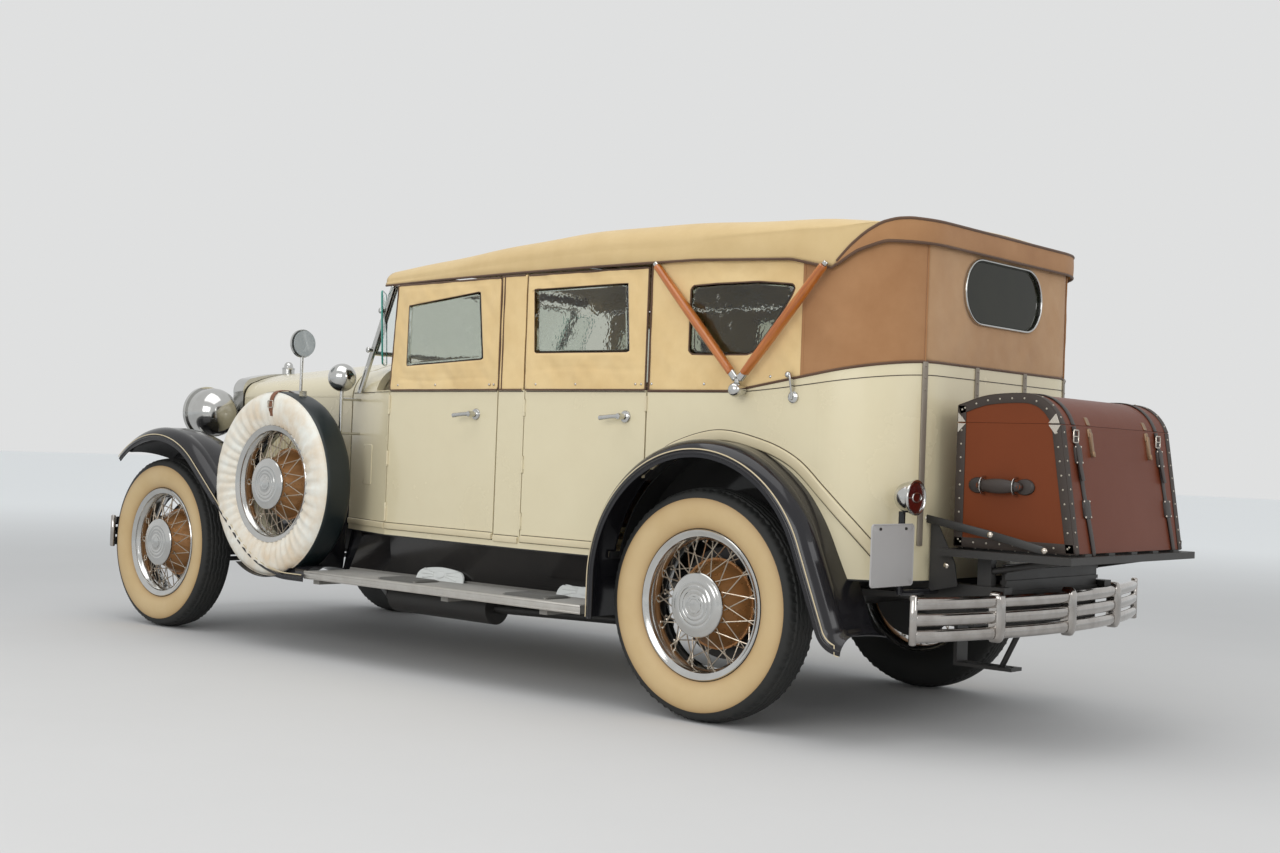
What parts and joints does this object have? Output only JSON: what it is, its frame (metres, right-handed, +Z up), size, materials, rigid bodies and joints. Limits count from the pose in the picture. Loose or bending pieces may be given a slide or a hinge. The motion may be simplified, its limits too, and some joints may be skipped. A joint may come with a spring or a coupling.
{
  "type": "convertible car",
  "caption": "Full-size seven-passenger open touring car with its cloth top up, side curtains fitted, side-mounted spares and a rear trunk.",
  "frame": {"origin": "on the ground, under the middle of the overall length, on the centre plane", "axes": "+X forward, +Y to the left side of the car, +Z up"},
  "size_m": [5.128, 1.74, 1.7877],
  "materials": {
    "tyre": "black rubber with cream side walls",
    "wheel_steel": "chromed rim, spokes and cap, gold painted hub shell",
    "black_steel": "black chassis paint",
    "engine": "painted casting",
    "cream_paint": "gloss cream paint",
    "dark_paint": "gloss near-black paint",
    "board_rubber": "ribbed grey rubber on steel",
    "bright_metal": "polished chrome",
    "clear_glass": "clear plate glass in a plated frame",
    "tan_cloth": "tan canvas",
    "varnished_wood": "varnished ash",
    "trunk_hide": "brown covered trunk with black bands",
    "seat_hide": "brown hide",
    "wheel_rim_plastic": "gloss black"
  },
  "bodies": {
    "chassis": {"axles": "black_steel", "body_cowl": "cream_paint", "body_tub": "cream_paint", "bumpers": "bright_metal", "chassis_frame": "black_steel", "cowl_lamps": "bright_metal", "engine_block": "engine", "exhaust": "black_steel", "fixed_curtains": "tan_cloth", "front_fenders": "dark_paint", "fuel_tank": "black_steel", "headlamps": "bright_metal", "leaf_springs": "black_steel", "luggage_rack": "black_steel", "mirrors": "bright_metal", "radiator": "bright_metal", "rear_fenders": "dark_paint", "running_boards": "board_rubber", "seats": "seat_hide", "spare_tyres": "tyre", "spare_wheels": "wheel_steel", "steering_column": "black_steel", "tail_lamps": "bright_metal", "top_canopy": "tan_cloth", "top_struts": "varnished_wood", "tow_hitch": "black_steel", "trunk_box": "trunk_hide", "windscreen": "clear_glass"},
    "knuckle_left": {"knuckle_left": "black_steel"},
    "knuckle_right": {"knuckle_right": "black_steel"},
    "tie_rod": {"tie_rod": "black_steel"},
    "steering_wheel": {"steering_wheel": "wheel_rim_plastic"},
    "door_front_left": {"door_front_left": "cream_paint", "curtain_front_left": "tan_cloth"},
    "door_front_right": {"door_front_right": "cream_paint", "curtain_front_right": "tan_cloth"},
    "door_rear_left": {"door_rear_left": "cream_paint", "curtain_rear_left": "tan_cloth"},
    "door_rear_right": {"door_rear_right": "cream_paint", "curtain_rear_right": "tan_cloth"},
    "hood_top_left": {"hood_top_left": "cream_paint"},
    "hood_top_right": {"hood_top_right": "cream_paint"},
    "hood_side_left": {"hood_side_left": "cream_paint"},
    "hood_side_right": {"hood_side_right": "cream_paint"},
    "trunk_lid": {"trunk_lid": "trunk_hide"},
    "wheel_front_left": {"wheel_front_left": "wheel_steel", "tyre_front_left": "tyre"},
    "wheel_front_right": {"wheel_front_right": "wheel_steel", "tyre_front_right": "tyre"},
    "wheel_rear_left": {"wheel_rear_left": "wheel_steel", "tyre_rear_left": "tyre"},
    "wheel_rear_right": {"wheel_rear_right": "wheel_steel", "tyre_rear_right": "tyre"}
  },
  "joints": [
    {"name": "steer_left", "type": "hinge", "parent": "chassis", "child": "knuckle_left", "pos_m": [2.014, 0.595, 0.406], "axis": [0, 0, 1], "range_deg": [-30, 30]},
    {"name": "steer_right", "type": "hinge", "parent": "chassis", "child": "knuckle_right", "pos_m": [2.014, -0.595, 0.406], "axis": [0, 0, 1], "range_deg": [-30, 30]},
    {"name": "tie_rod_turn", "type": "hinge", "parent": "knuckle_left", "child": "tie_rod", "pos_m": [1.854, 0.595, 0.33], "axis": [0, 0, 1], "range_deg": [-30, 30]},
    {"name": "steering_wheel_turn", "type": "hinge", "parent": "chassis", "child": "steering_wheel", "pos_m": [0.301, 0.36, 1.12], "axis": [-0.8044, 0, 0.594], "range_deg": [-480, 480]},
    {"name": "roll_front_left", "type": "hinge", "parent": "knuckle_left", "child": "wheel_front_left", "pos_m": [2.014, 0.715, 0.406], "axis": [0, 1, 0], "continuous": true},
    {"name": "roll_rear_left", "type": "hinge", "parent": "chassis", "child": "wheel_rear_left", "pos_m": [-1.339, 0.715, 0.406], "axis": [0, 1, 0], "continuous": true},
    {"name": "roll_front_right", "type": "hinge", "parent": "knuckle_right", "child": "wheel_front_right", "pos_m": [2.014, -0.715, 0.406], "axis": [0, 1, 0], "continuous": true},
    {"name": "roll_rear_right", "type": "hinge", "parent": "chassis", "child": "wheel_rear_right", "pos_m": [-1.339, -0.715, 0.406], "axis": [0, 1, 0], "continuous": true},
    {"name": "door_front_left_swing", "type": "hinge", "parent": "chassis", "child": "door_front_left", "pos_m": [0.491, 0.662, 0.86], "axis": [0, 0, -1], "range_deg": [0, 70]},
    {"name": "door_front_right_swing", "type": "hinge", "parent": "chassis", "child": "door_front_right", "pos_m": [0.491, -0.662, 0.86], "axis": [0, 0, 1], "range_deg": [0, 70]},
    {"name": "door_rear_left_swing", "type": "hinge", "parent": "chassis", "child": "door_rear_left", "pos_m": [-0.386, 0.72, 0.86], "axis": [0, 0, -1], "range_deg": [0, 70]},
    {"name": "door_rear_right_swing", "type": "hinge", "parent": "chassis", "child": "door_rear_right", "pos_m": [-0.386, -0.72, 0.86], "axis": [0, 0, 1], "range_deg": [0, 70]},
    {"name": "hood_top_left_lift", "type": "hinge", "parent": "chassis", "child": "hood_top_left", "pos_m": [0.909, 0, 1.324], "axis": [0.9985, 0, -0.0555], "range_deg": [0, 60]},
    {"name": "hood_side_left_fold", "type": "hinge", "parent": "hood_top_left", "child": "hood_side_left", "pos_m": [0.909, 0.528, 1.128], "axis": [0.9806, -0.1958, 0], "range_deg": [-51, 0]},
    {"name": "hood_top_right_lift", "type": "hinge", "parent": "chassis", "child": "hood_top_right", "pos_m": [0.909, 0, 1.324], "axis": [-0.9985, 0, 0.0555], "range_deg": [0, 60]},
    {"name": "hood_side_right_fold", "type": "hinge", "parent": "hood_top_right", "child": "hood_side_right", "pos_m": [0.909, -0.528, 1.128], "axis": [-0.9806, -0.1958, 0], "range_deg": [-51, 0]},
    {"name": "trunk_lid_lift", "type": "hinge", "parent": "chassis", "child": "trunk_lid", "pos_m": [-2.114, 0, 1.062], "axis": [0, 1, 0], "range_deg": [0, 75]}
  ],
  "couplings": [
    {"joint": "steer_right", "follows": "steer_left", "ratio": 1},
    {"joint": "tie_rod_turn", "follows": "steer_left", "ratio": -1},
    {"joint": "steering_wheel_turn", "follows": "steer_left", "ratio": 16},
    {"joint": "hood_side_left_fold", "follows": "hood_top_left_lift", "ratio": -0.85},
    {"joint": "hood_side_right_fold", "follows": "hood_top_right_lift", "ratio": -0.85}
  ]
}
